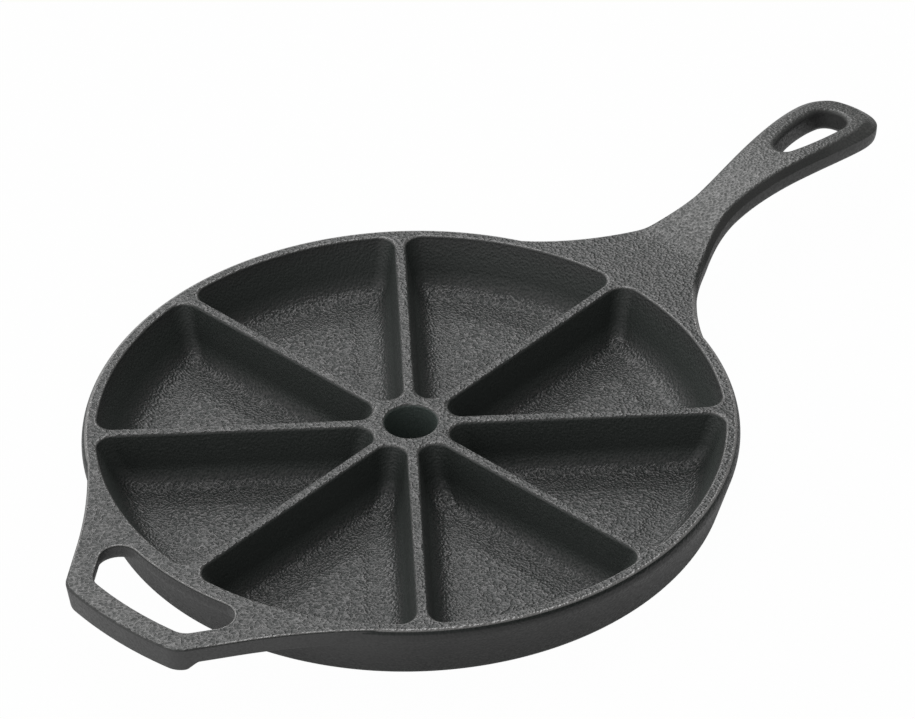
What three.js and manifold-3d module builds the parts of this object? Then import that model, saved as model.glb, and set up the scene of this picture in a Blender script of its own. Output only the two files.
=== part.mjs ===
// Cast iron sectioned skillet: a shallow round pan whose inside is cast as eight wedge
// cavities between straight dividers, with a long handle and a looped assist handle.
// The pan is poured as one casting. It is modelled here as the regions of that casting:
// floor, rim wall, centre hub, dividers and the two handles, each a solid of its own.
// Millimetres, +X along the long handle, +Z up, origin at the centre of the underside.
import * as THREE from 'three';
import { mergeVertices } from 'three/addons/utils/BufferGeometryUtils.js';
import Module from 'manifold-3d';

const wasm = await Module();
wasm.setup();

// Outer form of the pan
const rimRadius = 127;
const panHeight = 25.4;
const wallFlare = 6.4;
const baseEdgeRadius = 4;
const lipHeight = 2;
const rimEdgeRadius = 1.2;

// Wedge cavities, measured on the top land
const wedgeCount = 8;
const rimLandWidth = 6;
const dividerWidth = 5;
const cavityCornerRadius = 6.4;
const landEdgeRadius = 0.8;

// Section of a cavity from its wall down to the raised middle of its floor
const floorThickness = 4.6;
const floorFilletHeight = 8.5;
const dividerFilletReach = 7.5;
const rimFilletReach = 11.4;
const dividerDraft = THREE.MathUtils.degToRad(6.5);
const rimDraft = THREE.MathUtils.degToRad(16);
const troughWidth = 3.3;
const plateauSlopeWidth = 3;
const plateauRise = 0.7;
const floorCornerRadius = 2.5;

// Well in the centre hub
const wellRadius = 10.2;
const wellEdgeRadius = 1.3;
const wellFloorRadius = 2;
const wellDraft = THREE.MathUtils.degToRad(3);

// Long handle
const handleReach = 145.8;
const handleRise = 12.2;
const riseStart = 25.9;
const riseLength = 65.5;
const riseTurnShare = 0.09;
const tipDroop = 5.2;
const flareHalfWidth = 45.6;
const flareLength = 24.6;
const neckHalfWidth = 10.1;
const neckPosition = 55.8;
const neckLength = 20.6;
const bulbHalfWidth = 17.6;
const bulbFromTip = 19.6;
const tipFullness = 0.68;
const rootThickness = 9;
const gripThickness = 9.2;
const partingDepth = 2.9;
const gripBevelReach = 2.3;
const tipBevelReach = 4.9;
const tipBevelRun = 60;
const gripUnderReach = 1.4;
const gripEdgeRadius = 0.9;

// Hanging hole near the handle's tip, a teardrop with its wide end outward
const holeWideRadius = 8.6;
const holeNarrowRadius = 5.2;
const holeWideFromTip = 20.8;
const holeCentreDistance = 27.3;
const holeTopEdgeRadius = 1.5;
const holeUnderEdgeRadius = 3.2;

// Assist handle opposite the long handle
const assistReach = 34;
const assistHalfWidth = 29;
const assistSideAngle = THREE.MathUtils.degToRad(34.4);
const assistCornerRadius = 10;
const assistBlendRadius = 120;
const assistBlendSink = 0.4;
const webThickness = 8.6;
const gripBarWidth = 10.3;
const gripLipThickness = 10.4;
const gripLipWidth = 5;
const gripLipRampWidth = 4;
const sideBarWidth = 9.8;
const slotCornerRadius = 7.5;
const slotTopEdgeRadius = 0.9;
const slotUnderEdgeRadius = 5.2;
const assistTopEdgeRadius = 1;
const assistUnderEdgeRadius = 1.2;
const assistSideDraft = 1.2;

// Regions of the casting: where the handles begin outside the rim, how deep the seat lies under
// the trough, how far round the fillets the floor is parted from the walls, the width of the
// seams, and how far a cutter runs past what it cuts
const rootPad = 1.5;
const seatDepth = 0.7;
const seamAngle = THREE.MathUtils.degToRad(67.5);
const seamGap = 0.3;
const cutMargin = 2;

// Corners closer than this are one corner
const weldDistance = 1e-4;

// Facet counts
const roundSegments = 96;
const wellSegments = 48;
const landSegments = 2;
const edgeSegments = 3;
const filletSegments = 4;
const cornerSegments = 4;
const hubEndSegments = 6;
const arcSegments = 7;
const handleStations = 10;

// Values that follow from the sizes above
const baseRadius = rimRadius - wallFlare;
const wedgeHalfAngle = Math.PI / wedgeCount;
const cavityRadius = rimRadius - rimLandWidth;
const troughLevel = floorThickness;
const seatLevel = troughLevel - seatDepth;
const wallHeight = panHeight - landEdgeRadius - troughLevel - floorFilletHeight;
const dividerWallReach = wallHeight * Math.tan(dividerDraft);
const rimWallReach = wallHeight * Math.tan(rimDraft);
const dividerReach = dividerWallReach + dividerFilletReach;
const rimReach = rimWallReach + rimFilletReach;
const dividerSeamInset = dividerReach - dividerFilletReach * Math.cos(seamAngle);
const rimSeamInset = rimReach - rimFilletReach * Math.cos(seamAngle);
const seamOffset = dividerWidth / 2 + dividerSeamInset;
const hubSeamRun = (seamOffset + cornerRadiusAt(dividerSeamInset)) / Math.tan(wedgeHalfAngle);
const hubSeamRadius = Math.hypot(hubSeamRun, seamOffset);
const cornerDistance = cavityRadius - cavityCornerRadius;
const cornerOffset = dividerWidth / 2 + cavityCornerRadius;
const dividerEndRadius = Math.sqrt(cornerDistance ** 2 - cornerOffset ** 2) - seamGap;
const rootRadius = rimRadius + rootPad;
const handleTip = rimRadius + handleReach;
const assistRadius = rimRadius + assistReach;

// Solids

function solidOf(geometry) {
  const bare = geometry.clone();
  bare.deleteAttribute('normal');
  bare.deleteAttribute('uv');
  const merged = mergeVertices(bare, weldDistance);
  const index = Array.from(merged.index.array);
  const triVerts = [];
  for (let i = 0; i < index.length; i += 3) {
    const [a, b, c] = index.slice(i, i + 3);
    if (a !== b && b !== c && c !== a) {
      triVerts.push(a, b, c);
    }
  }
  return new wasm.Manifold(new wasm.Mesh({
    numProp: 3,
    vertProperties: new Float32Array(merged.attributes.position.array),
    triVerts: new Uint32Array(triVerts),
  }));
}

function geometryOf(solid) {
  const mesh = solid.getMesh();
  const geometry = new THREE.BufferGeometry();
  geometry.setAttribute('position', new THREE.BufferAttribute(mesh.vertProperties, 3));
  geometry.setIndex(new THREE.BufferAttribute(mesh.triVerts, 1));
  return geometry;
}

// A revolved solid; the profile runs from the axis out and back to the axis, upwards.
function revolved(profile, segments = roundSegments) {
  const lathe = new THREE.LatheGeometry(profile, segments);
  lathe.rotateX(Math.PI / 2);
  return solidOf(lathe);
}

function cylinder(radius, bottom, top) {
  return revolved([
    new THREE.Vector2(0, bottom),
    new THREE.Vector2(radius, bottom),
    new THREE.Vector2(radius, top),
    new THREE.Vector2(0, top),
  ]);
}

function box(xMin, xMax, yMin, yMax, zMin, zMax) {
  const geometry = new THREE.BoxGeometry(xMax - xMin, yMax - yMin, zMax - zMin);
  geometry.translate((xMin + xMax) / 2, (yMin + yMax) / 2, (zMin + zMax) / 2);
  return solidOf(geometry);
}

// A skin over rings of equal point counts, closed by a flat cap at its start and,
// unless the last ring has drawn together, at its end. The rings turn anticlockwise
// seen from the end of the loft.
function loft(rings, capEnd = true) {
  const count = rings[0].length;
  const index = [];
  for (let r = 0; r + 1 < rings.length; r += 1) {
    for (let i = 0; i < count; i += 1) {
      const a = r * count + i;
      const b = r * count + ((i + 1) % count);
      index.push(a, b, b + count, a, b + count, a + count);
    }
  }
  const lastRing = (rings.length - 1) * count;
  for (const [a, b, c] of capTriangles(rings[0])) {
    index.push(a, c, b);
  }
  if (capEnd) {
    for (const [a, b, c] of capTriangles(rings.at(-1))) {
      index.push(lastRing + a, lastRing + b, lastRing + c);
    }
  }
  const geometry = new THREE.BufferGeometry().setFromPoints(rings.flat());
  geometry.setIndex(index);
  return geometry;
}

function capTriangles(ring) {
  const upright = ring.every((point) => point.x === ring[0].x);
  const flat = ring.map((point) => (upright
    ? new THREE.Vector2(point.y, point.z)
    : new THREE.Vector2(point.x, point.y)));
  return THREE.ShapeUtils.triangulateShape(flat, []);
}

// Plan outlines

function arc(centre, radius, from, to, segments) {
  const points = [];
  for (let i = 0; i <= segments; i += 1) {
    const angle = from + ((to - from) * i) / segments;
    points.push(new THREE.Vector2(
      centre.x + radius * Math.cos(angle),
      centre.y + radius * Math.sin(angle),
    ));
  }
  return points;
}

function raised(outline, z) {
  return outline.map((point) => new THREE.Vector3(point.x, point.y, z));
}

function mirrored(points) {
  return points.map((point) => new THREE.Vector2(point.x, -point.y)).reverse();
}

// One wedge about the +X axis: the rim arc, two rounded outer corners and the round
// end at the hub, with both sides parallel to their dividers.
function wedgeOutline(sideOffset, outerRadius, cornerRadius) {
  const origin = new THREE.Vector2();
  const sideNormal = Math.PI / 2 + wedgeHalfAngle;
  const distance = outerRadius - cornerRadius;
  const cornerAngle = wedgeHalfAngle - Math.asin((sideOffset + cornerRadius) / distance);
  const corner = new THREE.Vector2(distance * Math.cos(cornerAngle), distance * Math.sin(cornerAngle));
  const hubEnd = new THREE.Vector2((sideOffset + cornerRadius) / Math.sin(wedgeHalfAngle), 0);
  const upperCorner = arc(corner, cornerRadius, cornerAngle, sideNormal, cornerSegments).slice(1);
  return [
    ...arc(origin, outerRadius, -cornerAngle, cornerAngle, arcSegments),
    ...upperCorner,
    ...arc(hubEnd, cornerRadius, sideNormal, 2 * Math.PI - sideNormal, hubEndSegments),
    ...mirrored(upperCorner),
  ];
}

// Corner radius of a cavity where its divider stands a distance in from the top edge.
function cornerRadiusAt(dividerInset) {
  const share = THREE.MathUtils.clamp(dividerInset / dividerReach, 0, 1);
  return THREE.MathUtils.lerp(cavityCornerRadius, floorCornerRadius, share);
}

function cavityOutline(dividerInset, rimInset) {
  return wedgeOutline(
    dividerWidth / 2 + dividerInset, cavityRadius - rimInset, cornerRadiusAt(dividerInset),
  );
}

// Steps through a quarter turn, each as the sine and cosine of its angle.
function quarterSteps(segments) {
  return Array.from({ length: segments + 1 }, (_, i) => {
    const angle = (Math.PI / 2) * (i / segments);
    return { sin: Math.sin(angle), cos: Math.cos(angle) };
  });
}

function cavityCutter() {
  const rings = [];
  const addLevel = (z, dividerInset, rimInset) => {
    rings.push(raised(cavityOutline(dividerInset, rimInset), z));
  };
  addLevel(panHeight + cutMargin, -landEdgeRadius, -landEdgeRadius);
  for (const { sin, cos } of quarterSteps(landSegments)) {
    const back = landEdgeRadius * (sin - 1);
    addLevel(panHeight - landEdgeRadius * (1 - cos), back, back);
  }
  for (const { sin, cos } of quarterSteps(filletSegments)) {
    addLevel(
      troughLevel + floorFilletHeight * (1 - sin),
      dividerWallReach + dividerFilletReach * (1 - cos),
      rimWallReach + rimFilletReach * (1 - cos),
    );
  }
  addLevel(troughLevel, dividerReach + troughWidth, rimReach + troughWidth);
  addLevel(
    troughLevel + plateauRise,
    dividerReach + troughWidth + plateauSlopeWidth,
    rimReach + troughWidth + plateauSlopeWidth,
  );
  return loft(rings.reverse());
}

function wellCutter() {
  const depth = panHeight - floorThickness;
  const floorRadius = wellRadius - depth * Math.tan(wellDraft);
  const profile = [new THREE.Vector2(0, floorThickness)];
  for (const { sin, cos } of quarterSteps(edgeSegments)) {
    profile.push(new THREE.Vector2(
      floorRadius - wellFloorRadius * (1 - sin),
      floorThickness + wellFloorRadius * (1 - cos),
    ));
  }
  for (const { sin, cos } of quarterSteps(edgeSegments)) {
    profile.push(new THREE.Vector2(
      wellRadius + wellEdgeRadius * (1 - cos),
      panHeight - wellEdgeRadius * (1 - sin),
    ));
  }
  profile.push(new THREE.Vector2(wellRadius + wellEdgeRadius, panHeight + cutMargin));
  profile.push(new THREE.Vector2(0, panHeight + cutMargin));
  return revolved(profile, wellSegments);
}

// The pan before its cavities are cut: flat underside, rounded lower edge, drafted
// wall, upright lip and rounded rim edge.
function panBody() {
  const draft = Math.atan2(wallFlare, panHeight - lipHeight);
  const tangent = baseEdgeRadius * Math.tan((Math.PI / 2 - draft) / 2);
  const edgeCentre = new THREE.Vector2(baseRadius - tangent, baseEdgeRadius);
  const profile = [
    new THREE.Vector2(0, 0),
    ...arc(edgeCentre, baseEdgeRadius, -Math.PI / 2, -draft, filletSegments),
    new THREE.Vector2(rimRadius, panHeight - lipHeight),
    ...arc(
      new THREE.Vector2(rimRadius - rimEdgeRadius, panHeight - rimEdgeRadius),
      rimEdgeRadius, 0, Math.PI / 2, edgeSegments,
    ),
    new THREE.Vector2(0, panHeight),
  ];
  return revolved(profile);
}

// Long handle

// Rise of the handle above the rim: it turns up over a short run before the neck, eases out to
// the crest and then falls slowly to the tip.
function handleHeight(x) {
  const start = rimRadius + riseStart;
  const crest = start + riseLength;
  const climb = THREE.MathUtils.clamp((x - start) / riseLength, 0, 1);
  const turning = climb ** 2 / riseTurnShare;
  const easing = 1 - (1 - climb) ** 2 / (1 - riseTurnShare);
  const pastCrest = THREE.MathUtils.clamp((x - crest) / (handleTip - crest), 0, 1);
  return handleRise * (climb < riseTurnShare ? turning : easing) - tipDroop * pastCrest ** 2;
}

// One side of the handle in plan: the flare off the rim, the neck and the round bulb.
function handleSide() {
  const rootAngle = Math.asin(flareHalfWidth / rimRadius);
  const root = new THREE.Vector2(rimRadius * Math.cos(rootAngle), flareHalfWidth);
  const alongRim = new THREE.Vector2(Math.sin(rootAngle), -Math.cos(rootAngle));
  const neck = new THREE.Vector2(rimRadius + neckPosition, neckHalfWidth);
  const bulb = new THREE.Vector2(handleTip - bulbFromTip, bulbHalfWidth);
  const tip = new THREE.Vector2(handleTip, 0);
  const curves = [
    new THREE.CubicBezierCurve(
      root,
      root.clone().addScaledVector(alongRim, flareLength),
      new THREE.Vector2(neck.x - neckLength, neck.y),
      neck,
    ),
    new THREE.CubicBezierCurve(
      neck,
      new THREE.Vector2(neck.x + neckLength, neck.y),
      new THREE.Vector2(bulb.x - neckLength, bulb.y),
      bulb,
    ),
    new THREE.CubicBezierCurve(
      bulb,
      new THREE.Vector2(bulb.x + tipFullness * (tip.x - bulb.x), bulb.y),
      new THREE.Vector2(tip.x, tipFullness * bulb.y),
      tip,
    ),
  ];
  const side = [];
  for (const curve of curves) {
    for (let i = 0; i < handleStations; i += 1) {
      const point = curve.getPoint(i / handleStations);
      const along = curve.getTangent(i / handleStations);
      side.push({ point, outward: new THREE.Vector2(-along.y, along.x) });
    }
  }
  side.push({ point: tip, outward: new THREE.Vector2(1, 0) });
  return side;
}

// The handle's edge at one station, from its underside round to its top: the round lower side
// up to the parting line, then the bevel, wider at the tip, and its rounded edge. Each point has
// its distance in from the outline as x and its depth below the top as y.
function handleEdge(station) {
  const share = THREE.MathUtils.smoothstep(station, rimRadius, rimRadius + neckPosition);
  const tipShare = THREE.MathUtils.smoothstep(station, handleTip - tipBevelRun, handleTip);
  const thickness = THREE.MathUtils.lerp(rootThickness, gripThickness, share);
  const gripReach = THREE.MathUtils.lerp(gripBevelReach, tipBevelReach, tipShare);
  const bevelReach = THREE.MathUtils.lerp(rimEdgeRadius, gripReach, share);
  const bevelHeight = THREE.MathUtils.lerp(rimEdgeRadius, partingDepth, share);
  const lowerHeight = thickness - bevelHeight;
  const lower = quarterSteps(edgeSegments).map(({ sin, cos }) => {
    return new THREE.Vector2(gripUnderReach * (1 - sin), thickness - lowerHeight * (1 - cos));
  });
  const corner = new THREE.Vector2(bevelReach, 0);
  const down = new THREE.Vector2(-bevelReach, bevelHeight).setLength(gripEdgeRadius);
  const onTop = new THREE.Vector2(bevelReach + gripEdgeRadius, 0);
  const rounded = new THREE.QuadraticBezierCurve(corner.clone().add(down), corner, onTop);
  return [...lower, ...rounded.getPoints(landSegments)];
}

function longHandle() {
  const rings = handleSide().map(({ point, outward }, i) => {
    const left = handleEdge(point.x).map((edge) => {
      const x = i === 0 ? point.x : point.x - edge.x * outward.x;
      const y = Math.max(point.y - edge.x * outward.y, 0);
      return new THREE.Vector3(x, y, panHeight - edge.y + handleHeight(x));
    });
    const right = left.map((v) => new THREE.Vector3(v.x, -v.y, v.z)).reverse();
    return [...left, ...right];
  });
  return solidOf(loft(rings, false));
}

function teardropOutline(outset) {
  const wide = new THREE.Vector2(handleTip - holeWideFromTip, 0);
  const narrow = new THREE.Vector2(wide.x - holeCentreDistance, 0);
  const lean = Math.acos((holeNarrowRadius - holeWideRadius) / holeCentreDistance);
  return [
    ...arc(wide, holeWideRadius + outset, -lean, lean, 2 * arcSegments),
    ...arc(narrow, holeNarrowRadius + outset, lean, 2 * Math.PI - lean, arcSegments),
  ];
}

// Rings of a through opening whose edges are rounded over at the top and underneath. The
// cut runs on below the underside, so that it also clears the thicker lip of the assist handle.
function openingRings(outline, top, topRadius, bottom, bottomRadius) {
  const rings = [raised(outline(bottomRadius), bottom - gripLipThickness)];
  for (const { sin, cos } of quarterSteps(edgeSegments)) {
    rings.push(raised(outline(bottomRadius * (1 - sin)), bottom + bottomRadius * (1 - cos)));
  }
  for (const { sin, cos } of quarterSteps(edgeSegments)) {
    rings.push(raised(outline(topRadius * (1 - cos)), top - topRadius * (1 - sin)));
  }
  rings.push(raised(outline(topRadius), top + cutMargin));
  return rings;
}

function hangingHole() {
  const rings = openingRings(
    teardropOutline,
    panHeight,
    holeTopEdgeRadius,
    panHeight - gripThickness,
    holeUnderEdgeRadius,
  );
  for (const point of rings.flat()) {
    point.z += handleHeight(point.x);
  }
  return solidOf(loft(rings));
}

// Assist handle, drawn about +X and turned to the far side of the pan

const assistSide = {
  corner: new THREE.Vector2(Math.sqrt(assistRadius ** 2 - assistHalfWidth ** 2), assistHalfWidth),
  along: new THREE.Vector2(-Math.cos(assistSideAngle), Math.sin(assistSideAngle)),
  inward: new THREE.Vector2(-Math.sin(assistSideAngle), -Math.cos(assistSideAngle)),
};

// Centre of a circle that keeps a distance in from the straight side and lies at a
// given radius from the middle of the pan.
function centreBesideSide(inset, radius) {
  const start = assistSide.corner.clone().addScaledVector(assistSide.inward, inset);
  const half = start.dot(assistSide.along);
  const step = -half - Math.sqrt(half ** 2 - start.lengthSq() + radius ** 2);
  return start.addScaledVector(assistSide.along, step);
}

const sideNormal = Math.PI / 2 - assistSideAngle;

function assistOutline(inset) {
  const corner = centreBesideSide(assistCornerRadius, assistRadius - assistCornerRadius);
  const blend = centreBesideSide(-assistBlendRadius, rimRadius + assistBlendRadius - assistBlendSink);
  const cornerRadius = assistCornerRadius - inset;
  const blendRadius = assistBlendRadius + inset;
  const blendEnd = blend.angle() + Math.PI;
  const blendStart = sideNormal + Math.PI;
  const upper = [
    ...arc(corner, cornerRadius, corner.angle(), sideNormal, cornerSegments).slice(1),
    ...arc(blend, blendRadius, blendStart, blendEnd, arcSegments),
  ];
  const buried = upper.at(-1).clone().setLength(rimRadius - rimLandWidth);
  const outerArc = arc(
    new THREE.Vector2(), assistRadius - inset, -corner.angle(), corner.angle(), arcSegments,
  );
  return [...outerArc, ...upper, buried, ...mirrored([...upper, buried])];
}

function slotOutline(outset) {
  const outerRadius = assistRadius - gripBarWidth;
  const inset = sideBarWidth + slotCornerRadius;
  const outer = centreBesideSide(inset, outerRadius - slotCornerRadius);
  const inner = centreBesideSide(inset, rootRadius + slotCornerRadius);
  const radius = slotCornerRadius + outset;
  const upper = [
    ...arc(outer, radius, outer.angle(), sideNormal, cornerSegments).slice(1),
    ...arc(inner, radius, sideNormal, inner.angle() + Math.PI, cornerSegments),
  ];
  const middle = new THREE.Vector2();
  return [
    ...arc(middle, outerRadius + outset, -outer.angle(), outer.angle(), arcSegments),
    ...upper,
    ...arc(middle, rootRadius - outset, inner.angle(), -inner.angle(), arcSegments).slice(1, -1),
    ...mirrored(upper),
  ];
}

function assistPlate(thickness) {
  const rings = [];
  for (const { sin, cos } of quarterSteps(edgeSegments)) {
    rings.push(raised(
      assistOutline(assistSideDraft + assistUnderEdgeRadius * (1 - sin)),
      panHeight - thickness + assistUnderEdgeRadius * (1 - cos),
    ));
  }
  for (const { sin, cos } of quarterSteps(edgeSegments)) {
    rings.push(raised(
      assistOutline(assistTopEdgeRadius * (1 - cos)),
      panHeight - assistTopEdgeRadius * (1 - sin),
    ));
  }
  return solidOf(loft(rings));
}

function assistHandle() {
  const lipInside = assistRadius - gripLipWidth;
  const webUnderside = panHeight - webThickness;
  const behindLip = revolved([
    new THREE.Vector2(0, -cutMargin),
    new THREE.Vector2(lipInside, -cutMargin),
    new THREE.Vector2(lipInside, panHeight - gripLipThickness),
    new THREE.Vector2(lipInside - gripLipRampWidth, webUnderside),
    new THREE.Vector2(lipInside - gripLipRampWidth, panHeight + cutMargin),
    new THREE.Vector2(0, panHeight + cutMargin),
  ]);
  const slot = solidOf(loft(openingRings(
    slotOutline, panHeight, slotTopEdgeRadius, webUnderside, slotUnderEdgeRadius,
  )));
  const gripLip = assistPlate(gripLipThickness).subtract(behindLip);
  return assistPlate(webThickness).add(gripLip).subtract(slot).rotate([0, 0, 180]);
}

// The casting and its regions

function casting() {
  let solid = panBody().add(longHandle().subtract(hangingHole())).add(assistHandle());
  const cavity = solidOf(cavityCutter());
  for (let i = 0; i < wedgeCount; i += 1) {
    const turn = ((i + 0.5) * 360) / wedgeCount;
    solid = solid.subtract(cavity.rotate([0, 0, turn]));
  }
  return solid.subtract(wellCutter());
}

const whole = casting();
const low = -cutMargin;
const high = panHeight + handleRise + cutMargin;
const far = Math.max(handleTip, assistRadius) + cutMargin;
const seamHalf = seamGap / 2;

// The eight floor columns: the floor of each wedge up to the seam on its fillets, drawn in
// or let out by a clearance.
function floorColumns(clearance) {
  const outline = cavityOutline(dividerSeamInset + clearance, rimSeamInset + clearance);
  const column = solidOf(loft([raised(outline, low), raised(outline, high)]));
  let columns = column.rotate([0, 0, 180 / wedgeCount]);
  for (let i = 1; i < wedgeCount; i += 1) {
    columns = columns.add(column.rotate([0, 0, ((i + 0.5) * 360) / wedgeCount]));
  }
  return columns;
}

const belowSeat = box(-far, far, -far, far, low, seatLevel);
const floor = whole.intersect(belowSeat.add(floorColumns(seamHalf)));
const walls = whole.intersect(box(-far, far, -far, far, seatLevel, high)).subtract(floorColumns(-seamHalf));
const outside = walls.subtract(cylinder(rootRadius + seamHalf, low, high));
const hub = walls.intersect(cylinder(hubSeamRadius - seamHalf, low, high));
const aroundHub = walls
  .intersect(cylinder(rootRadius - seamHalf, low, high))
  .subtract(cylinder(hubSeamRadius + seamHalf, low, high));

// A straight strip along one divider, from the middle of the pan out to a radius.
function dividerStrip(index, halfWidth, radius) {
  const turn = (index * 360) / wedgeCount;
  const strip = box(0, rimRadius, -halfWidth, halfWidth, low, high).rotate([0, 0, turn]);
  return strip.intersect(cylinder(radius, low, high));
}

const dividers = [];
let rimWall = aroundHub;
for (let i = 0; i < wedgeCount; i += 1) {
  dividers.push(aroundHub.intersect(dividerStrip(i, seamOffset, dividerEndRadius - seamHalf)));
  rimWall = rimWall.subtract(dividerStrip(i, seamOffset + seamGap, dividerEndRadius + seamHalf));
}

function named(name, solid) {
  const seasonedIron = new THREE.MeshStandardMaterial({
    color: 0x4b4c4b,
    roughness: 0.62,
    metalness: 0.45,
  });
  const mesh = new THREE.Mesh(geometryOf(solid), seasonedIron);
  mesh.name = name;
  return mesh;
}

const skillet = new THREE.Group();
skillet.add(named('pan_floor', floor));
skillet.add(named('rim_wall', rimWall));
skillet.add(named('centre_hub', hub));
dividers.forEach((divider, i) => skillet.add(named(`divider_${i + 1}`, divider)));
skillet.add(named('long_handle', outside.intersect(box(0, far, -far, far, low, high))));
skillet.add(named('assist_handle', outside.intersect(box(-far, 0, -far, far, low, high))));

export default skillet;
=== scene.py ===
"""Dress the sectioned skillet.

The pan is one casting of seasoned iron. It is shaped here as a whole and then parted into
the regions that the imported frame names, and each region gets the seasoned finish.
Lengths are in millimetres until a piece is handed over in metres.
"""

import logging
import math
from dataclasses import dataclass, field
from enum import Enum
from typing import Any, Callable, Mapping, Optional, Sequence, Union

import bmesh
import bpy
import numpy as np
from mathutils import Matrix, Quaternion, Vector


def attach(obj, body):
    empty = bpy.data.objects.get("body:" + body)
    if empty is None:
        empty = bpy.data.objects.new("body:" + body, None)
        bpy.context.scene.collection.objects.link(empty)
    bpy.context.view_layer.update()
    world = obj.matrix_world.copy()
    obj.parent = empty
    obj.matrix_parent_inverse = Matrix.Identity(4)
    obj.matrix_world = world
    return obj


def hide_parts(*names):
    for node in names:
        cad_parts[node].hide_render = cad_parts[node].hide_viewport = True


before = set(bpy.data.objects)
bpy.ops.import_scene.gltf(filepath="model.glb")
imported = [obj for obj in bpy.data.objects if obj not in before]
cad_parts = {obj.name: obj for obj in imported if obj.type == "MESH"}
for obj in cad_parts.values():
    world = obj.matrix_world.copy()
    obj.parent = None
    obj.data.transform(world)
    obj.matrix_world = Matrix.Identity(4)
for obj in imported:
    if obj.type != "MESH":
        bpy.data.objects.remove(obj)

METRES_PER_MM = 0.001
ROOT_BODY = "root"
IRON_SLOT = "seasoned_iron"
IMAGE_WIDTH = 915
WELD_DISTANCE = 1e-4
SHARP_ANGLE = math.radians(38.0)
SHADING_WEIGHT = 60
OPENING_STEPS = 8
OPENING_PAST = 10.0
NOISE_MIDDLE = 0.5
MIX_FIRST, MIX_SECOND, MIX_RESULT = 6, 7, 2
LOG = logging.getLogger("skillet")

Points = np.ndarray
Number = Union[int, float]
Colour = tuple[float, float, float, float]
Range = tuple[float, float]


def quarter(steps: int) -> list[tuple[float, float]]:
    """Walk through a quarter turn.

    Args:
        steps: Number of equal steps.

    Returns:
        The sine and cosine of each angle, from 0 to 90 degrees.
    """
    angles = [0.5 * math.pi * i / steps for i in range(steps + 1)]
    return [(math.sin(angle), math.cos(angle)) for angle in angles]


def smooth(value: Number) -> float:
    """Ease a value from 0 to 1 with level ends."""
    share = min(max(value, 0.0), 1.0)
    return share * share * (3.0 - 2.0 * share)


def arc(centre: Sequence[float], radius: float, start: float, end: float, steps: int) -> Points:
    """Lay points along an arc in plan.

    Args:
        centre: The arc's centre.
        radius: The arc's radius.
        start: First angle, in radians.
        end: Last angle, in radians.
        steps: Number of equal steps.

    Returns:
        An array of steps + 1 plan points.
    """
    angles = np.linspace(start, end, steps + 1)
    return np.column_stack([
        centre[0] + radius * np.cos(angles),
        centre[1] + radius * np.sin(angles),
    ])


def bezier(points: Sequence[Points], t: float) -> Points:
    """Follow a cubic curve.

    Args:
        points: Its four control points.
        t: Share of the way along it.

    Returns:
        The point there.
    """
    a, b, c, d = points
    u = 1 - t
    return u**3 * a + 3 * u * u * t * b + 3 * u * t * t * c + t**3 * d


def raised(outline: Points, height: float) -> Points:
    """Lift a plan outline to a height."""
    return np.column_stack([outline, np.full(len(outline), height)])


def mirrored(outline: Points) -> Points:
    """Reflect plan points in the long handle's axis and reverse their order."""
    return (outline * np.array([1.0, -1.0]))[::-1]


def opening_rings(
    outline: Callable[[float], Points],
    top: float,
    top_edge: float,
    under: float,
    under_edge: float,
    taper: float = 0.0,
) -> list[Points]:
    """Stack the rings of a through opening that is rounded over on both faces.

    Args:
        outline: Draws the opening, grown by an outset.
        top: Height of the top face.
        top_edge: Radius of the edge there.
        under: Height of the underside.
        under_edge: Radius of the edge there.
        taper: How far the opening draws in on its way down.

    Returns:
        Rings from below the underside to above the top.
    """
    rings = [raised(outline(under_edge - taper), under - OPENING_PAST)]
    for sine, cosine in quarter(OPENING_STEPS):
        outset = under_edge * (1 - sine) - taper
        rings.append(raised(outline(outset), under + under_edge * (1 - cosine)))
    for sine, cosine in quarter(OPENING_STEPS):
        rings.append(raised(outline(top_edge * (1 - cosine)), top - top_edge * (1 - sine)))
    rings.append(raised(outline(top_edge), top + OPENING_PAST))
    return rings


def grey(level: float) -> Colour:
    """Give an even grey."""
    return (level, level, level, 1.0)


class Combine(Enum):
    """Ways of working one solid against another."""

    JOIN = "UNION"
    CUT = "DIFFERENCE"
    KEEP = "INTERSECT"


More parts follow.
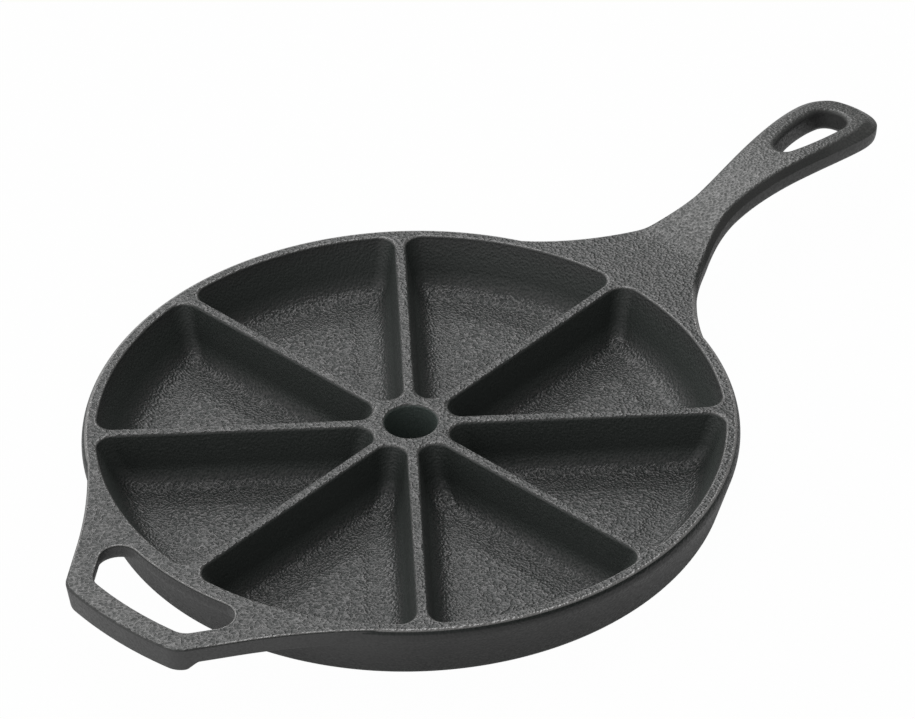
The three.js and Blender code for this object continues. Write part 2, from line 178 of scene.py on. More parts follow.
class Solid:
    """A closed body that is joined to, cut by or trimmed to other bodies."""

    def __init__(self, mesh: bpy.types.Mesh) -> None:
        """Hold the body's mesh."""
        self.mesh = mesh

    @classmethod
    def from_faces(cls, points: Points, faces: Sequence[Sequence[int]]) -> "Solid":
        """Make a body from its points and faces.

        Args:
            points: Corner points.
            faces: Corner numbers of each face, turning left seen from outside.

        Returns:
            The body, with points that coincide welded together.
        """
        mesh = bpy.data.meshes.new("solid")
        mesh.from_pydata(points.tolist(), [], faces)
        shell = bmesh.new()
        shell.from_mesh(mesh)
        bmesh.ops.remove_doubles(shell, verts=shell.verts, dist=WELD_DISTANCE)
        shell.to_mesh(mesh)
        shell.free()
        return cls(mesh)

    @staticmethod
    def skin(rings: int, count: int) -> list[list[int]]:
        """Number the faces between rings that follow each other.

        Args:
            rings: Number of rings.
            count: Number of points in each ring.

        Returns:
            Corner numbers of each face.
        """
        faces = []
        for base in range(0, (rings - 1) * count, count):
            for i in range(count):
                a, b = base + i, base + (i + 1) % count
                faces.append([a, b, b + count, a + count])
        return faces

    @classmethod
    def lofted(cls, rings: Sequence[Points], capped: bool = True) -> "Solid":
        """Stretch a skin over rings of equal point counts.

        Args:
            rings: Rings that turn left seen from the end of the loft.
            capped: Whether the last ring is closed by a flat face.

        Returns:
            The closed body.
        """
        count = len(rings[0])
        faces = [list(range(count))[::-1], *cls.skin(len(rings), count)]
        if capped:
            last = (len(rings) - 1) * count
            faces.append(list(range(last, last + count)))
        return cls.from_faces(np.vstack(rings), faces)

    @classmethod
    def revolved(cls, profile: Points, segments: int) -> "Solid":
        """Turn a profile round the upright axis.

        Args:
            profile: Radius and height pairs, from the axis out and back to the axis, upwards.
            segments: Number of steps in a full turn.

        Returns:
            The closed body.
        """
        angles = np.linspace(0.0, 2.0 * math.pi, segments, endpoint=False)
        rings = [
            np.column_stack([r * np.cos(angles), r * np.sin(angles), np.full(segments, z)])
            for r, z in profile
        ]
        return cls.from_faces(np.vstack(rings), cls.skin(len(rings), segments))

    @classmethod
    def drum(cls, radius: float, low: float, high: float, segments: int) -> "Solid":
        """Make a plain round region about the upright axis.

        Args:
            radius: Its radius.
            low: Height of its underside.
            high: Height of its top.
            segments: Number of steps in a full turn.

        Returns:
            The closed body.
        """
        return cls.revolved(
            np.array([(0.0, low), (radius, low), (radius, high), (0.0, high)]), segments,
        )

    @classmethod
    def block(cls, low: Sequence[float], high: Sequence[float]) -> "Solid":
        """Make a plain upright region.

        Args:
            low: Its lowest corner.
            high: Its highest corner.

        Returns:
            The closed body.
        """
        outline = np.array([
            (low[0], low[1]), (high[0], low[1]), (high[0], high[1]), (low[0], high[1]),
        ])
        return cls.lofted([raised(outline, low[2]), raised(outline, high[2])])

    def turned(self, angle: float) -> "Solid":
        """Turn a copy about the upright axis.

        Args:
            angle: The turn, in radians.

        Returns:
            The turned copy.
        """
        mesh = self.mesh.copy()
        mesh.transform(Matrix.Rotation(angle, 4, "Z"))
        return Solid(mesh)

    def combined(self, other: "Solid", way: Combine) -> "Solid":
        """Work this body against another.

        Args:
            other: The other body.
            way: What to do with it.

        Returns:
            The resulting body.
        """
        work = bpy.data.objects.new("work", self.mesh)
        tool = bpy.data.objects.new("tool", other.mesh)
        for thing in (work, tool):
            bpy.context.scene.collection.objects.link(thing)
        step = work.modifiers.new("combine", "BOOLEAN")
        step.operation = way.value
        step.solver = "MANIFOLD"
        step.object = tool
        depsgraph = bpy.context.evaluated_depsgraph_get()
        mesh = bpy.data.meshes.new_from_object(work.evaluated_get(depsgraph))
        for thing in (work, tool):
            bpy.data.objects.remove(thing)
        return Solid(mesh)

    def __add__(self, other: "Solid") -> "Solid":
        """Join two bodies."""
        return self.combined(other, Combine.JOIN)

    def __sub__(self, other: "Solid") -> "Solid":
        """Cut another body out of this one."""
        return self.combined(other, Combine.CUT)

    def __and__(self, other: "Solid") -> "Solid":
        """Keep only what lies inside another body."""
        return self.combined(other, Combine.KEEP)


class Signal:
    """A shader socket that can be used in Python arithmetic."""

    def __init__(self, graph: "Graph", socket: bpy.types.NodeSocket) -> None:
        """Hold the socket and the graph that new nodes go into."""
        self.graph = graph
        self.socket = socket

    def __add__(self, other: "Value") -> "Signal":
        """Add a value."""
        return self.graph.math("ADD", self, other)

    def __radd__(self, other: "Value") -> "Signal":
        """Add to a value."""
        return self.graph.math("ADD", other, self)

    def __sub__(self, other: "Value") -> "Signal":
        """Take a value away."""
        return self.graph.math("SUBTRACT", self, other)

    def __rsub__(self, other: "Value") -> "Signal":
        """Take away from a value."""
        return self.graph.math("SUBTRACT", other, self)

    def __mul__(self, other: "Value") -> "Signal":
        """Multiply by a value."""
        return self.graph.math("MULTIPLY", self, other)

    def __rmul__(self, other: "Value") -> "Signal":
        """Multiply a value."""
        return self.graph.math("MULTIPLY", other, self)

    def __pow__(self, other: "Value") -> "Signal":
        """Raise to a power."""
        return self.graph.math("POWER", self, other)

    def __rpow__(self, other: "Value") -> "Signal":
        """Raise a value to this power."""
        return self.graph.math("POWER", other, self)

    def clamped(self) -> "Signal":
        """Keep the value between 0 and 1."""
        return self.graph.math("MINIMUM", self.graph.math("MAXIMUM", self, 0.0), 1.0)

    def stepped(self, low: float, high: float) -> "Signal":
        """Ease the value from 0 to 1.

        Args:
            low: Where the result is 0.
            high: Where the result is 1.

        Returns:
            The eased value, with level ends.
        """
        node = self.graph.node(
            "ShaderNodeMapRange",
            {"interpolation_type": "SMOOTHSTEP"},
            {"Value": self, "From Min": low, "From Max": high},
        )
        return Signal(self.graph, node.outputs["Result"])


Value = Union[Number, Signal]
Tone = Union[Colour, Signal]


class Graph:
    """A node tree that is filled by plain calls."""

    def __init__(self, tree: bpy.types.NodeTree) -> None:
        """Empty the tree and hold it."""
        self.tree = tree
        tree.nodes.clear()

    def node(
        self,
        kind: str,
        settings: Optional[Mapping[str, Any]] = None,
        inputs: Optional[Mapping[Union[str, int], Any]] = None,
    ) -> bpy.types.Node:
        """Add a node.

        Args:
            kind: The node's type.
            settings: Properties that are set before its sockets.
            inputs: Values or signals for its sockets, by name or number.

        Returns:
            The new node.
        """
        node = self.tree.nodes.new(kind)
        for name, value in (settings or {}).items():
            setattr(node, name, value)
        for name, value in (inputs or {}).items():
            if isinstance(value, Signal):
                self.tree.links.new(value.socket, node.inputs[name])
            elif isinstance(value, bpy.types.NodeSocket):
                self.tree.links.new(value, node.inputs[name])
            else:
                node.inputs[name].default_value = value
        return node

    def math(self, operation: str, first: Value, second: Value) -> Signal:
        """Add a Math node.

        Args:
            operation: The node's operation.
            first: Its first value.
            second: Its second value.

        Returns:
            The node's result.
        """
        node = self.node("ShaderNodeMath", {"operation": operation}, {0: first, 1: second})
        return Signal(self, node.outputs[0])

    def mixed(self, factor: Value, first: Tone, second: Tone) -> Signal:
        """Mix two colours.

        Args:
            factor: Share of the second colour.
            first: Colour at 0.
            second: Colour at 1.

        Returns:
            The mixed colour.
        """
        node = self.node(
            "ShaderNodeMix",
            {"data_type": "RGBA"},
            {"Factor": factor, MIX_FIRST: first, MIX_SECOND: second},
        )
        return Signal(self, node.outputs[MIX_RESULT])


class Place:
    """Where a point of the casting lies, in millimetres, and how its face leans."""

    def __init__(self, graph: Graph) -> None:
        """Add the nodes that find the place and the lean.

        Args:
            graph: The material's graph.
        """
        here = graph.node("ShaderNodeTexCoord")
        scaled = graph.node(
            "ShaderNodeVectorMath", {"operation": "SCALE"},
            {0: here.outputs["Object"], "Scale": 1.0 / METRES_PER_MM},
        )
        self.point = Signal(graph, scaled.outputs[0])
        parts = graph.node("ShaderNodeSeparateXYZ", None, {0: self.point})
        across = Signal(graph, parts.outputs["Y"])
        self.along = Signal(graph, parts.outputs["X"])
        self.level = Signal(graph, parts.outputs["Z"])
        self.out = (self.along * self.along + across * across) ** 0.5
        geometry = graph.node("ShaderNodeNewGeometry")
        facing = graph.node("ShaderNodeSeparateXYZ", None, {0: geometry.outputs["Normal"]})
        self.lean = Signal(graph, facing.outputs["Z"])


@dataclass(frozen=True)
class SeasonedIron:
    """Sand-cast iron with baked-on seasoning: a dark skin over a fine pebbled grain.

    Bands are the two ends of a soft change: in height, in distance from the middle of the pan or
    along the handles. Leans run from -1 for a face that looks down to 1 for one that looks up.
    The depth of the grain is in metres.
    """

    # Dark grain pits; the same colour paints the shade line under the rim's outer edge.
    pit_and_painted_shade: Colour = (0.002, 0.006, 0.0045, 1.0)
    peak: Colour = (0.042, 0.041, 0.040, 1.0)
    # Painted shade: the cavity floors take a darker grain peak than the lands.
    painted_shade_floor_peak: Colour = (0.034, 0.0337, 0.033, 1.0)
    # Painted light: the tops of both handles are made lighter.
    handle_painted_light: Colour = (0.098, 0.0965, 0.094, 1.0)
    # Partly wear, partly painted highlight: the bright colour of the rounded top edges.
    worn_and_highlighted: Colour = (0.200, 0.198, 0.194, 1.0)
    shaded: Colour = (0.0405, 0.0470, 0.0435, 1.0)
    # Painted light: a lighter colour lifts the shaded well in the hub.
    well_painted_light: Colour = (0.086, 0.108, 0.099, 1.0)
    outside: Colour = (0.036, 0.0365, 0.036, 1.0)
    assist_painted_light: Colour = (0.085, 0.0855, 0.085, 1.0)
    specular: float = 0.7
    roughness: float = 0.45
    worn_roughness: float = 0.18
    grain_roughness: float = 0.08
    swell_roughness: float = 0.1
    floor_roughness: float = 0.04
    land_grain_per_mm: float = 1.05
    floor_grain_per_mm: float = 1.1
    fine_share: float = 0.8
    coarse_per_fine: float = 0.55
    grain_contrast: float = 7.0
    grain_depth: float = 0.00009
    land_tone: float = 0.4
    floor_tone: float = 1.4
    swell_per_mm: float = 0.05
    swell_detail: float = 2.0
    swell_height: float = 0.8
    swell_tone: float = 0.4
    wall_share: float = 0.35
    grip_smoothing: float = 0.4
    rim_wear_and_highlight: float = 0.4
    lip_wear_and_highlight: float = 0.6
    hub_wear_and_highlight: float = 0.18
    base_heights: Range = (1.0, 3.0)
    land_heights: Range = (8.0, 20.0)
    edge_heights: Range = (23.0, 23.8)
    well_band: Range = (12.0, 13.5)
    hub_band: Range = (30.0, 42.0)
    rim_band: Range = (112.0, 118.0)
    wall_band: Range = (118.0, 123.0)
    lip_band: Range = (122.5, 124.0)
    grip_band: Range = (134.0, 178.0)
    bar_along: Range = (-153.0, -143.0)
    assist_along: Range = (-130.0, -80.0)
    neck_along: Range = (132.0, 142.0)
    under_lean: Range = (-0.8, -0.3)
    steep_lean: Range = (0.3, 0.9)
    shadow_lean: Range = (0.36, 0.48)
    shadow_end_lean: Range = (0.62, 0.72)
    edge_lean: Range = (0.62, 0.78)
    edge_end_lean: Range = (0.985, 0.999)
    sandy_lean: Range = (0.72, 1.0)

    def noise(self, graph: Graph, place: Place, per_mm: float, detail: float) -> Signal:
        """Add an even noise over the casting.

        Args:
            graph: The material's graph.
            place: Place on the casting.
            per_mm: Features per millimetre.
            detail: Octaves of finer noise.

        Returns:
            The noise, around one half.
        """
        node = graph.node(
            "ShaderNodeTexNoise", None,
            {"Vector": place.point, "Scale": per_mm, "Detail": detail},
        )
        return Signal(graph, node.outputs["Fac"])

    def sand(self, graph: Graph, place: Place, per_mm: float) -> Signal:
        """Add the print of the moulding sand.

        Args:
            graph: The material's graph.
            place: Place on the casting.
            per_mm: Grains per millimetre.

        Returns:
            Fine and coarse grains together, around one half.
        """
        fine = self.noise(graph, place, per_mm, 0.0)
        coarse = self.noise(graph, place, per_mm * self.coarse_per_fine, 0.0)
        both = fine * self.fine_share + coarse * (1.0 - self.fine_share)
        return (both - NOISE_MIDDLE) * self.grain_contrast + NOISE_MIDDLE

    def wear_and_highlight(self, place: Place, edge: Signal, lip: Signal) -> Signal:
        """Find the rounded edges of the rim and the hub that are made bright: partly wear, partly
        painted highlight.

        Args:
            place: Place on the casting.
            edge: Share of the rim's top edges.
            lip: Share of the rim's outer edge.

        Returns:
            How far the edge takes the bright colour: partly wear, partly painted highlight.
        """
        hub = 1.0 - place.out.stepped(*self.hub_band)
        worn_and_lit = place.out.stepped(*self.rim_band) * self.rim_wear_and_highlight + lip * self.lip_wear_and_highlight
        worn_and_lit = (worn_and_lit + hub * self.hub_wear_and_highlight) * place.along.stepped(*self.bar_along)
        worn_and_lit = edge * worn_and_lit * (1.0 - place.along.stepped(*self.neck_along))
        rounded = place.lean.stepped(*self.edge_lean)
        return worn_and_lit * rounded * (1.0 - place.lean.stepped(*self.edge_end_lean))

    def wall_tone(self, graph: Graph, place: Place) -> Signal:
        """Tone the steep faces: the shaded colour in the wedges, painted light in the well and
        round the assist handle, plain iron outside.

        Args:
            graph: The material's graph.
            place: Place on the casting.

        Returns:
            The colour of a steep face.
        """
        # Painted light: the well takes a lighter colour than the shaded wedge walls.
        inside = graph.mixed(place.out.stepped(*self.well_band), self.well_painted_light, self.shaded)
        above_base = place.level.stepped(*self.base_heights)
        within = above_base * (1.0 - place.out.stepped(*self.wall_band))
        # Painted light: the assist handle's outer faces, but not its downward faces, take a lighter
        # colour.
        away = place.along.stepped(*self.assist_along)
        under = 1.0 - place.lean.stepped(*self.under_lean)
        beyond = graph.mixed((away + under).clamped(), self.assist_painted_light, self.outside)
        return graph.mixed(within, beyond, inside)

    def material(self, name: str) -> bpy.types.Material:
        """Make the finish.

        Args:
            name: The material's name.

        Returns:
            The finished material.
        """
        material = bpy.data.materials.new(name)
        material.use_nodes = True
        graph = Graph(material.node_tree)
        place = Place(graph)
        grip = place.out.stepped(*self.grip_band)
        lip = place.out.stepped(*self.lip_band)
        land = place.level.stepped(*self.land_heights)
        edge = place.level.stepped(*self.edge_heights)
        sandy = self.wall_share + place.lean.stepped(*self.sandy_lean) * (1.0 - self.wall_share)
        sandy = sandy * (1.0 - grip * self.grip_smoothing)
        land_grain = self.sand(graph, place, self.land_grain_per_mm)
        floor_grain = self.sand(graph, place, self.floor_grain_per_mm)
        grain = land_grain * land + floor_grain * (1.0 - land)
        swell = self.noise(graph, place, self.swell_per_mm, self.swell_detail)
        height = grain * sandy + swell * self.swell_height
        contrast = self.floor_tone + land * (self.land_tone - self.floor_tone)
        tone = (grain - NOISE_MIDDLE) * sandy * contrast + NOISE_MIDDLE
        tone = tone + (swell - NOISE_MIDDLE) * self.swell_tone
        # Painted light on the handle tops and painted shade on the cavity floors, as lighter and
        # darker grain peaks.
        peak = graph.mixed(grip, graph.mixed(land, self.painted_shade_floor_peak, self.peak), self.handle_painted_light)
        level_tone = graph.mixed(tone.clamped(), self.pit_and_painted_shade, peak)
        steep = 1.0 - place.lean.stepped(*self.steep_lean)
        skin = graph.mixed(steep, level_tone, self.wall_tone(graph, place))
        # Painted shade: a dark line just under the rim's outer edge, in the pit colour.
        shadow = place.lean.stepped(*self.shadow_lean)
        shadow = shadow * (1.0 - place.lean.stepped(*self.shadow_end_lean))
        shadow = shadow * lip * (1.0 - grip) * edge
        # Bright rounded edges: partly wear, partly painted highlight.
        worn_and_highlighted = self.wear_and_highlight(place, edge, lip)
        colour = graph.mixed(worn_and_highlighted, graph.mixed(shadow, skin, self.pit_and_painted_shade), self.worn_and_highlighted)
        rough = self.roughness + (NOISE_MIDDLE - grain) * self.grain_roughness
        rough = rough + (swell - NOISE_MIDDLE) * self.swell_roughness
        rough = rough + (1.0 - land) * self.floor_roughness
        rough = rough + (self.worn_roughness - self.roughness) * worn_and_highlighted
        bump = graph.node(
            "ShaderNodeBump", None,
            {"Strength": 1.0, "Distance": self.grain_depth, "Height": height},
        )
        shader = graph.node(
            "ShaderNodeBsdfPrincipled", None,
            {
                "Base Color": colour,
                "Roughness": rough,
                "Metallic": 0.0,
                "Specular IOR Level": self.specular,
                "Normal": bump.outputs["Normal"],
            },
        )
        graph.node("ShaderNodeOutputMaterial", None, {"Surface": shader.outputs[0]})
        return material


def hand_over(
    solid: Solid, name: str, node: str, finish: bpy.types.Material,
) -> bpy.types.Object:
    """Turn a worked body into a finished piece of the skillet.

    Args:
        solid: The body, in millimetres.
        name: The piece's name.
        node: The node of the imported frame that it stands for.
        finish: Its material.

    Returns:
        The piece, riding on the pan's only body.
    """
    mesh = solid.mesh
    mesh.name = name
    mesh.transform(Matrix.Scale(METRES_PER_MM, 4))
    mesh.materials.clear()
    mesh.materials.append(finish)
    mesh.polygons.foreach_set("use_smooth", np.ones(len(mesh.polygons), dtype=bool))
    mesh.set_sharp_from_angle(angle=SHARP_ANGLE)
    piece = bpy.data.objects.new(name, mesh)
    bpy.context.scene.collection.objects.link(piece)
    evened = piece.modifiers.new("even_shading", "WEIGHTED_NORMAL")
    evened.keep_sharp = True
    evened.weight = SHADING_WEIGHT
    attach(piece, ROOT_BODY)
    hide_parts(node)
    return piece


@dataclass(frozen=True)
class Seams:
    """Where the casting is parted into its named regions."""

    hub_radius: float
    rim_radius: float
    divider_end_radius: float
    strip_half_width: float
    seat_level: float
    root_radius: float
    segments: int
    low: float = -2.0
    high: float = 60.0
    far: float = 300.0

    def drum(self, radius: float) -> Solid:
        """Make a round region of full height."""
        return Solid.drum(radius, self.low, self.high, self.segments)

    def above_seat(self) -> Solid:
        """Make the region above the level that walls and dividers stand on."""
        return Solid.block((-self.far, -self.far, self.seat_level), (self.far, self.far, self.high))

    def below_seat(self) -> Solid:
        """Make the region under that level."""
        return Solid.block((-self.far, -self.far, self.low), (self.far, self.far, self.seat_level))

    def strip(self, angle: float) -> Solid:
        """Make the region of one divider.

        Args:
            angle: The way that the divider points, in radians.

        Returns:
            The region, from the middle of the pan to the divider's end.
        """
        half = self.strip_half_width
        bar = Solid.block((0.0, -half, self.low), (self.far, half, self.high)).turned(angle)
        return bar & self.drum(self.divider_end_radius)

    def beyond_rim(self, casting: Solid, start: float, end: float) -> Solid:
        """Keep what lies outside the rim between two places along the handles.

        Args:
            casting: The whole casting.
            start: Where the region begins.
            end: Where it ends.

        Returns:
            The handle in that region.
        """
        side = Solid.block((start, -self.far, self.low), (end, self.far, self.high))
        return (casting & side) - self.drum(self.root_radius)


@dataclass
class Pan:
    """The round pan: its outer form, the wedge cavities and the well in the hub."""

    rim_radius: float = 127.0
    height: float = 25.4
    base_radius: float = 120.6
    base_edge: float = 4.0
    lip_reach: float = 0.95
    lip_lean: float = math.radians(33.0)
    lip_edge: float = 1.8
    wedge_count: int = 8
    rim_land: float = 5.8
    divider_width: float = 4.8
    cavity_corner: float = 6.4
    land_edge: float = 1.2
    floor_thickness: float = 4.6
    fillet_height: float = 8.0
    divider_reach: float = 12.0
    rim_reach: float = 18.2
    divider_draft: float = math.radians(10.0)
    rim_draft: float = math.radians(23.0)
    trough_width: float = 3.6
    plateau_slope: float = 4.0
    plateau_rise: float = 0.35
    floor_corner: float = 2.5
    well_radius: float = 10.2
    well_edge: float = 1.3
    well_floor_edge: float = 2.0
    well_draft: float = math.radians(3.0)
    root_pad: float = 1.5
    seat_depth: float = 0.7
    seam_from_divider: float = 12.9
    seam_from_rim: float = 22.3
    seam_shift: float = 0.3
    overshoot: float = 2.0
    segments: int = 288
    well_segments: int = 128
    base_steps: int = 10
    edge_steps: int = 8
    land_steps: int = 6
    wall_steps: int = 24
    slope_steps: int = 8
    corner_steps: int = 12
    rim_steps: int = 36
    hub_steps: int = 28
    pieces: list[bpy.types.Object] = field(default_factory=list)

    @property
    def half_angle(self) -> float:
        """Half the angle that one wedge takes up."""
        return math.pi / self.wedge_count

    @property
    def cavity_radius(self) -> float:
        """Radius of the cavities' outer wall on the top land."""
        return self.rim_radius - self.rim_land

    def seams(self) -> Seams:
        """Work out where the casting is parted.

        Returns:
            The seams, round the feet of the walls.
        """
        corner_run = self.cavity_radius - self.cavity_corner
        corner_side = self.divider_width / 2 + self.cavity_corner
        return Seams(
            hub_radius=self.seam_from_divider / math.sin(self.half_angle) + self.seam_shift,
            rim_radius=self.rim_radius - self.seam_from_rim,
            divider_end_radius=math.sqrt(corner_run**2 - corner_side**2) - self.seam_shift,
            strip_half_width=self.seam_from_divider,
            seat_level=self.floor_thickness - self.seat_depth,
            root_radius=self.rim_radius + self.root_pad,
            segments=self.segments,
        )

    def body(self) -> Solid:
        """Turn the pan before its cavities are cut.

        Returns:
            A round body with a flat underside, a drafted wall and a rounded rim.
        """
        edge_centre = (
            self.rim_radius - self.lip_reach - self.lip_edge * math.cos(self.lip_lean),
            self.height - self.lip_edge,
        )
        lip_top = edge_centre[1] + self.lip_edge * math.sin(self.lip_lean)
        lip_height = 2 * self.lip_reach / math.tan(self.lip_lean)
        lip = [
            (self.rim_radius - self.lip_reach * share**2, lip_top - lip_height * (1 - share))
            for share in np.linspace(0.0, 1.0, self.edge_steps + 1)[:-1]
        ]
        draft = math.atan2(self.rim_radius - self.base_radius, lip_top - lip_height)
        tangent = self.base_edge * math.tan((math.pi / 2 - draft) / 2)
        base_centre = (self.base_radius - tangent, self.base_edge)
        profile = np.vstack([
            [(0.0, 0.0)],
            arc(base_centre, self.base_edge, -math.pi / 2, -draft, self.base_steps),
            lip,
            arc(edge_centre, self.lip_edge, self.lip_lean, math.pi / 2, self.edge_steps),
            [(0.0, self.height)],
        ])
        return Solid.revolved(profile, self.segments)

    def wedge_outline(self, side: float, outer: float, corner: float) -> Points:
        """Draw one wedge about the +X axis.

        Args:
            side: Distance of its sides from the middle of their dividers.
            outer: Radius of its outer arc.
            corner: Radius of its corners.

        Returns:
            The closed outline, turning left.
        """
        normal = math.pi / 2 + self.half_angle
        run = outer - corner
        angle = self.half_angle - math.asin((side + corner) / run)
        hub_end = ((side + corner) / math.sin(self.half_angle), 0.0)
        corner_centre = (run * math.cos(angle), run * math.sin(angle))
        upper = arc(corner_centre, corner, angle, normal, self.corner_steps)[1:]
        return np.vstack([
            arc((0.0, 0.0), outer, -angle, angle, self.rim_steps),
            upper,
            arc(hub_end, corner, normal, 2 * math.pi - normal, self.hub_steps),
            mirrored(upper),
        ])

    def cavity_levels(self) -> list[tuple[float, float, float]]:
        """List a cavity's section from the land down to the middle of its floor.

        Returns:
            Height, distance in from the divider's edge and distance in from the rim's edge.
        """
        edge = self.land_edge
        levels = [(self.height + self.overshoot, -edge, -edge)]
        for sine, cosine in quarter(self.land_steps):
            levels.append((self.height - edge * (1 - cosine), edge * (sine - 1), edge * (sine - 1)))
        drop = self.height - edge - self.floor_thickness
        for t in np.linspace(0.0, 1.0, self.wall_steps + 1):
            insets = []
            for draft, reach in (
                (self.divider_draft, self.divider_reach), (self.rim_draft, self.rim_reach),
            ):
                turn = drop * math.tan(draft)
                start = turn - self.fillet_height * math.tan(draft)
                insets.append((1 - t) ** 2 * start + 2 * t * (1 - t) * turn + t**2 * reach)
            levels.append((self.floor_thickness + self.fillet_height * (1 - t) ** 2, *insets))
        for i in range(self.slope_steps + 1):
            share = i / self.slope_steps
            out = self.trough_width + self.plateau_slope * share
            rise = self.plateau_rise * smooth(share)
            levels.append((
                self.floor_thickness + rise, self.divider_reach + out, self.rim_reach + out,
            ))
        return levels

    def cavity(self) -> Solid:
        """Loft one wedge cavity.

        Returns:
            The body that cuts it, about the +X axis.
        """
        rings = []
        for height, divider_inset, rim_inset in self.cavity_levels():
            share = min(max(divider_inset / self.divider_reach, 0.0), 1.0)
            corner = self.cavity_corner + (self.floor_corner - self.cavity_corner) * share
            outline = self.wedge_outline(
                self.divider_width / 2 + divider_inset, self.cavity_radius - rim_inset, corner,
            )
            rings.append(raised(outline, height))
        return Solid.lofted(rings[::-1])

    def well(self) -> Solid:
        """Turn the well in the hub.

        Returns:
            The body that cuts it.
        """
        depth = self.height - self.floor_thickness
        floor = self.well_radius - depth * math.tan(self.well_draft)
        profile = [(0.0, self.floor_thickness)]
        for sine, cosine in quarter(self.edge_steps):
            profile.append((
                floor - self.well_floor_edge * (1 - sine),
                self.floor_thickness + self.well_floor_edge * (1 - cosine),
            ))
        for sine, cosine in quarter(self.edge_steps):
            profile.append((
                self.well_radius + self.well_edge * (1 - cosine),
                self.height - self.well_edge * (1 - sine),
            ))
        profile.append((self.well_radius + self.well_edge, self.height + self.overshoot))
        profile.append((0.0, self.height + self.overshoot))
        return Solid.revolved(np.array(profile), self.well_segments)

    def hollowed(self, blank: Solid) -> Solid:
        """Cut the cavities and the well out of the casting.

        Args:
            blank: The casting before it is hollowed.

        Returns:
            The hollowed casting.
        """
        cavity = self.cavity()
        for i in range(self.wedge_count):
            blank = blank - cavity.turned((2 * i + 1) * self.half_angle)
        return blank - self.well()

    def build(self, casting: Solid, finish: bpy.types.Material) -> None:
        """Part the pan's own regions from the casting and dress them.

        Args:
            casting: The whole casting.
            finish: The material of every region.
        """
        seams = self.seams()
        upper = casting & seams.above_seat() & seams.drum(seams.root_radius)
        hub = seams.drum(seams.hub_radius)
        rim = upper - seams.drum(seams.rim_radius)
        columns = seams.drum(seams.rim_radius) - hub
        for i in range(self.wedge_count):
            strip = seams.strip(2 * i * self.half_angle)
            divider = (upper & strip) - hub
            name = f"divider_casting_{i + 1}"
            self.pieces.append(hand_over(divider, name, f"divider_{i + 1}", finish))
            rim = rim - strip
            columns = columns - strip
        floor = casting & (seams.below_seat() + columns)
        self.pieces.append(hand_over(floor, "floor_casting", "pan_floor", finish))
        self.pieces.append(hand_over(rim, "rim_casting", "rim_wall", finish))
        self.pieces.append(hand_over(upper & hub, "hub_casting", "centre_hub", finish))


